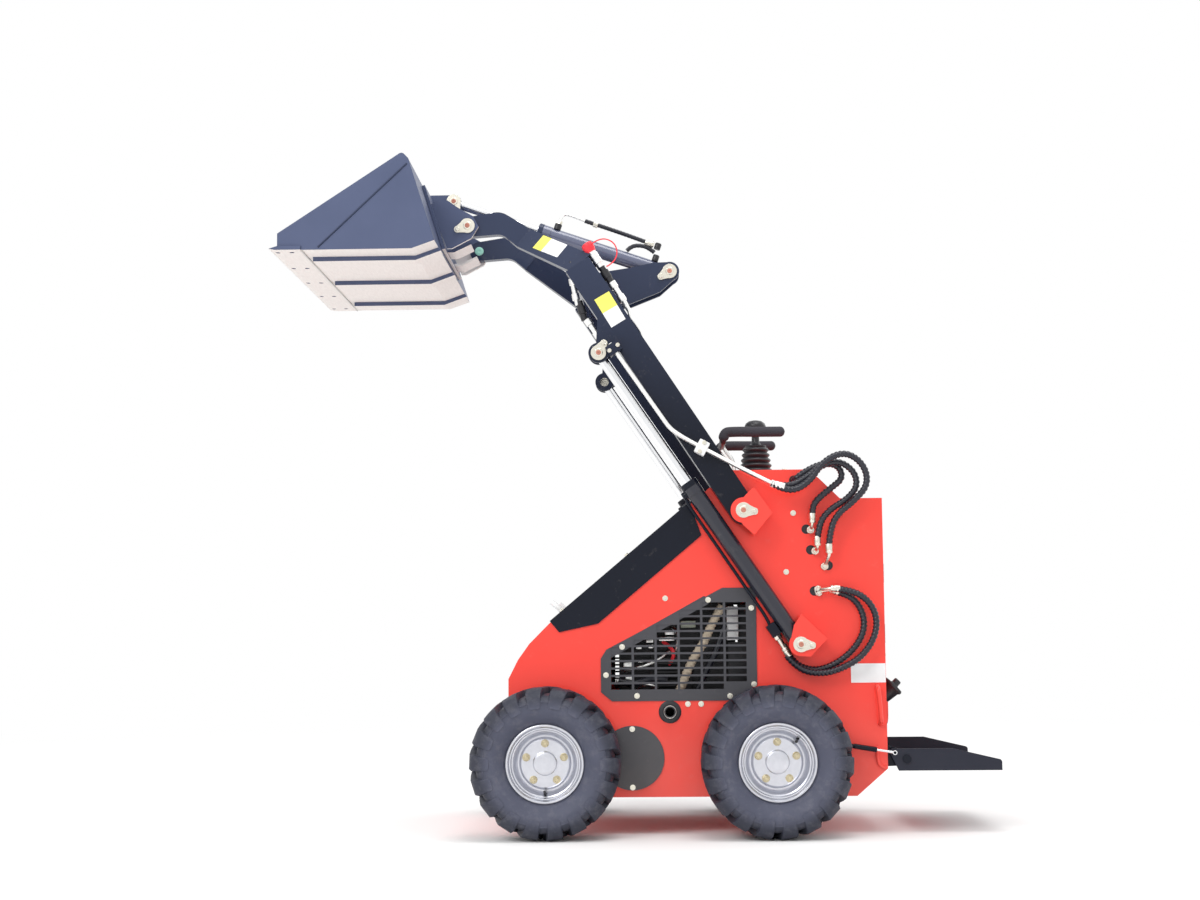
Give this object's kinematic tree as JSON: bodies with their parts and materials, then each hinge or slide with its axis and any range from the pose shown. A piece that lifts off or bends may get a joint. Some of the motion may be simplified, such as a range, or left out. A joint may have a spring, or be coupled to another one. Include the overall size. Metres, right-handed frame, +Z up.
{
  "type": "skid steer loader",
  "caption": "Compact stand-on wheeled skid steer loader: lift arms raised on cylinders, bucket level, hand bar and joystick on top, fold-up platform behind.",
  "frame": {"origin": "on the ground under the middle of the loader's whole box", "axes": "+X forward to the bucket, +Y to the loader's left, +Z up"},
  "size_m": [2.238, 1.092, 2.1001],
  "materials": {
    "body_red": "gloss red paint",
    "black_paint": "gloss black paint",
    "grey_paint": "dark grey paint",
    "bare_steel": "worn bare steel",
    "dark_steel": "dark steel",
    "engine_iron": "cast block",
    "zinc": "zinc plated",
    "chrome": "hard chrome",
    "rim_silver": "silver paint",
    "tyre": "rubber tread",
    "black_plastic": "moulded"
  },
  "bodies": {
    "chassis": {"side_plate_left": "body_red", "side_plate_right": "body_red", "body_wrap": "body_red", "hood": "black_paint", "grille_left": "grey_paint", "grille_right": "grey_paint", "round_covers": "grey_paint", "axle_housings": "dark_steel", "engine_block": "engine_iron", "exhaust_pipe": "dark_steel", "filler_neck": "body_red", "headlamps": "black_plastic", "arm_brackets": "body_red", "cylinder_brackets": "body_red", "chassis_pins": "zinc", "platform_hinges": "dark_steel", "strut_studs": "zinc", "hand_bar": "black_paint", "joystick": "black_plastic", "loop_hoses": "black_plastic", "cylinder_hoses": "black_plastic", "rear_handle": "black_paint"},
    "lift_arm": {"arm_left": "black_paint", "arm_right": "black_paint", "cross_tube": "black_paint", "cylinder_horn": "black_paint", "hitch_pins": "zinc", "ear_pins": "zinc", "horn_pin": "zinc", "arm_pipes": "zinc", "pipe_clamps": "zinc"},
    "lift_barrels": {"lift_barrels": "black_paint", "port_blocks": "black_paint"},
    "lift_rods": {"lift_rods": "chrome"},
    "bucket": {"hitch_frame": "black_paint", "tilt_ear_pins": "zinc", "bucket_shell": "black_paint", "cutting_edge": "bare_steel", "runners": "bare_steel"},
    "tilt_barrel": {"tilt_barrel": "black_paint"},
    "tilt_rod": {"tilt_rod": "chrome"},
    "platform": {"platform": "grey_paint"},
    "strut_tubes": {"strut_tubes": "black_paint"},
    "strut_rods": {"strut_rods": "chrome"},
    "wheel_front_left": {"tyre_front_left": "tyre", "wheel_front_left": "rim_silver"},
    "wheel_front_right": {"tyre_front_right": "tyre", "wheel_front_right": "rim_silver"},
    "wheel_rear_left": {"tyre_rear_left": "tyre", "wheel_rear_left": "rim_silver"},
    "wheel_rear_right": {"tyre_rear_right": "tyre", "wheel_rear_right": "rim_silver"}
  },
  "joints": [
    {"name": "arm_lift", "type": "hinge", "parent": "chassis", "child": "lift_arm", "pos_m": [-0.333, 0, 0.995], "axis": [0, -1, 0], "range_deg": [-88, 0]},
    {"name": "lift_barrel_turn", "type": "hinge", "parent": "chassis", "child": "lift_barrels", "pos_m": [-0.503, 0, 0.58], "axis": [0, -1, 0], "range_deg": [-57.33, 0.1]},
    {"name": "lift_rod_slide", "type": "slide", "parent": "lift_barrels", "child": "lift_rods", "axis": [0.558, 0, 0.8298], "range_m": [-0.4183, 0.001]},
    {"name": "bucket_tilt", "type": "hinge", "parent": "lift_arm", "child": "bucket", "pos_m": [0.538, 0, 1.937], "axis": [0, 1, 0], "range_deg": [-90, 30]},
    {"name": "tilt_barrel_turn", "type": "hinge", "parent": "lift_arm", "child": "tilt_barrel", "pos_m": [-0.117, 0, 1.815], "axis": [0, 1, 0], "range_deg": [-4.6, 1.6]},
    {"name": "tilt_rod_slide", "type": "slide", "parent": "tilt_barrel", "child": "tilt_rod", "axis": [0.9448, 0, 0.3276], "range_m": [-0.189, 0.064]},
    {"name": "platform_fold", "type": "hinge", "parent": "chassis", "child": "platform", "pos_m": [-0.827, 0, 0.226], "axis": [0, 1, 0], "range_deg": [0, 75]},
    {"name": "strut_tube_turn", "type": "hinge", "parent": "chassis", "child": "strut_tubes", "pos_m": [-0.655, 0, 0.268], "axis": [0, 1, 0], "range_deg": [-18.11, 0.1]},
    {"name": "strut_rod_slide", "type": "slide", "parent": "strut_tubes", "child": "strut_rods", "axis": [-0.9868, 0, -0.162], "range_m": [-0.001, 0.0259]},
    {"name": "spin_front_left", "type": "hinge", "parent": "chassis", "child": "wheel_front_left", "pos_m": [0.281, 0.422, 0.22978], "axis": [0, 1, 0], "continuous": true},
    {"name": "spin_front_right", "type": "hinge", "parent": "chassis", "child": "wheel_front_right", "pos_m": [0.281, -0.422, 0.22978], "axis": [0, 1, 0], "continuous": true},
    {"name": "spin_rear_left", "type": "hinge", "parent": "chassis", "child": "wheel_rear_left", "pos_m": [-0.419, 0.422, 0.22978], "axis": [0, 1, 0], "continuous": true},
    {"name": "spin_rear_right", "type": "hinge", "parent": "chassis", "child": "wheel_rear_right", "pos_m": [-0.419, -0.422, 0.22978], "axis": [0, 1, 0], "continuous": true}
  ],
  "couplings": [
    {"joint": "lift_barrel_turn", "follows": "arm_lift", "ratio": 0.64922},
    {"joint": "lift_rod_slide", "follows": "arm_lift", "m_per_rad": 0.27169},
    {"joint": "tilt_barrel_turn", "follows": "bucket_tilt", "ratio": 0.03},
    {"joint": "tilt_rod_slide", "follows": "bucket_tilt", "m_per_rad": 0.11918},
    {"joint": "strut_tube_turn", "follows": "platform_fold", "ratio": -0.23884},
    {"joint": "strut_rod_slide", "follows": "platform_fold", "m_per_rad": 0.019}
  ]
}
